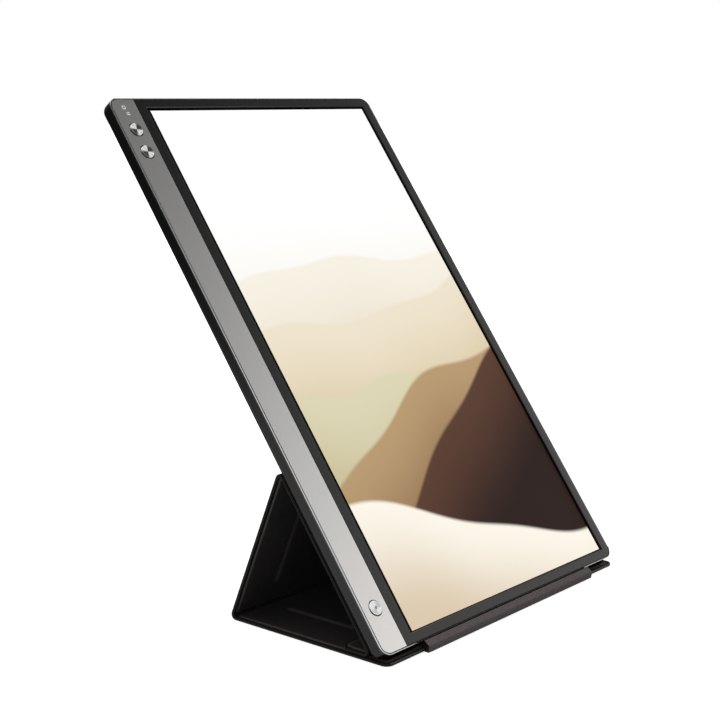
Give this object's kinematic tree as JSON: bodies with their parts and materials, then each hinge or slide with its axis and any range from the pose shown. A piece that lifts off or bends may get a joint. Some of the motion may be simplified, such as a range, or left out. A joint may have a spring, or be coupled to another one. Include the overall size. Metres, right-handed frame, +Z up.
{
  "type": "portable monitor with folding cover",
  "caption": "Slim portable screen standing upright on a folded cover: base with front lip, rear strut and back panel held by magnets, with round metal buttons on a side strip.",
  "frame": {"origin": "on the table, under the middle of the object's box", "axes": "+X to the right seen from the screen's side, +Y to the rear, +Z up"},
  "size_m": [0.207, 0.198, 0.2688],
  "materials": {
    "housing_plastic": "moulded, fine texture",
    "trim_metal": "diamond-cut chamfer",
    "strip_metal": "satin anodised",
    "bezel_plastic": "satin",
    "tape_black": "adhesive tape",
    "display_glass": "anti-glare, lit",
    "optical_sheet": "translucent sheet",
    "reflector_white": "white sheet",
    "panel_steel": "pressed sheet",
    "led_white": "white, phosphor windows",
    "foam_grey": "closed-cell foam",
    "board_green": "solder mask",
    "screw_steel": "zinc plated",
    "chip_black": "moulded",
    "ribbon_amber": "polyimide film",
    "button_metal": "spun",
    "lens_clear": "clear plug",
    "cover_skin": "smooth synthetic leather",
    "cover_lining": "brushed microfibre",
    "cover_board": "grey board",
    "magnet_nickel": "nickel plated",
    "lip_skin": "synthetic leather",
    "lip_plastic": "extruded"
  },
  "bodies": {
    "back_panel": {"back_skin": "cover_skin", "back_board": "cover_board", "back_lining": "cover_lining", "back_magnets": "magnet_nickel", "apex_fold": "cover_skin", "foot_fold": "cover_skin"},
    "monitor": {"rear_housing": "housing_plastic", "edge_trim": "trim_metal", "control_strip": "strip_metal", "front_bezel": "bezel_plastic", "bezel_tape": "tape_black", "display_cell": "display_glass", "optical_films": "optical_sheet", "light_guide": "optical_sheet", "reflector_sheet": "reflector_white", "panel_frame": "panel_steel", "led_bar": "led_white", "panel_pads": "foam_grey", "main_board": "board_green", "button_board": "board_green", "board_screws": "screw_steel", "board_chips": "chip_black", "display_ribbon": "ribbon_amber", "button_ribbon": "ribbon_amber", "tact_switches": "chip_black", "usb_shell": "panel_steel", "usb_tongue": "chip_black", "keeper_plates": "panel_steel"},
    "strut": {"strut_skin": "cover_skin", "strut_board": "cover_board", "strut_lining": "cover_lining", "rear_fold": "cover_skin"},
    "base": {"base_skin": "cover_skin", "base_board": "cover_board", "base_lining": "cover_lining", "base_magnets": "magnet_nickel", "lip_core": "lip_plastic", "lip_skin": "lip_skin"},
    "flap": {"flap_skin": "cover_skin", "flap_board": "cover_board", "flap_lining": "cover_lining", "flap_magnets": "magnet_nickel"},
    "menu_button": {"menu_button": "button_metal"},
    "select_button": {"select_button": "button_metal"},
    "power_button": {"power_button": "button_metal", "power_lens": "lens_clear"}
  },
  "joints": [
    {"name": "monitor_lift", "type": "slide", "parent": "back_panel", "child": "monitor", "axis": [0, -0.8131, 0.5821], "range_m": [0, 0.12]},
    {"name": "stand_fold", "type": "hinge", "parent": "back_panel", "child": "strut", "pos_m": [0, -0.02629, 0.08169], "axis": [1, 0, 0], "range_deg": [0, 120], "deforming": ["apex_fold"]},
    {"name": "base_fold", "type": "hinge", "parent": "strut", "child": "base", "pos_m": [0, 0.00842, 0.003], "axis": [1, 0, 0], "range_deg": [0, 113.2], "deforming": ["rear_fold"]},
    {"name": "flap_fold", "type": "hinge", "parent": "back_panel", "child": "flap", "pos_m": [0, -0.08109, 0.00515], "axis": [1, 0, 0], "range_deg": [-125, 0], "deforming": ["foot_fold"]},
    {"name": "menu_button_press", "type": "slide", "parent": "monitor", "child": "menu_button", "axis": [0, 0.8131, -0.5821], "range_m": [0, 0.0005], "stiffness_N_per_m": 2000},
    {"name": "select_button_press", "type": "slide", "parent": "monitor", "child": "select_button", "axis": [0, 0.8131, -0.5821], "range_m": [0, 0.0005], "stiffness_N_per_m": 2000},
    {"name": "power_button_press", "type": "slide", "parent": "monitor", "child": "power_button", "axis": [0, 0.8131, -0.5821], "range_m": [0, 0.0005], "stiffness_N_per_m": 2000}
  ],
  "couplings": [
    {"joint": "base_fold", "follows": "stand_fold", "ratio": 0.94333},
    {"joint": "flap_fold", "follows": "stand_fold", "ratio": -1.0417}
  ]
}
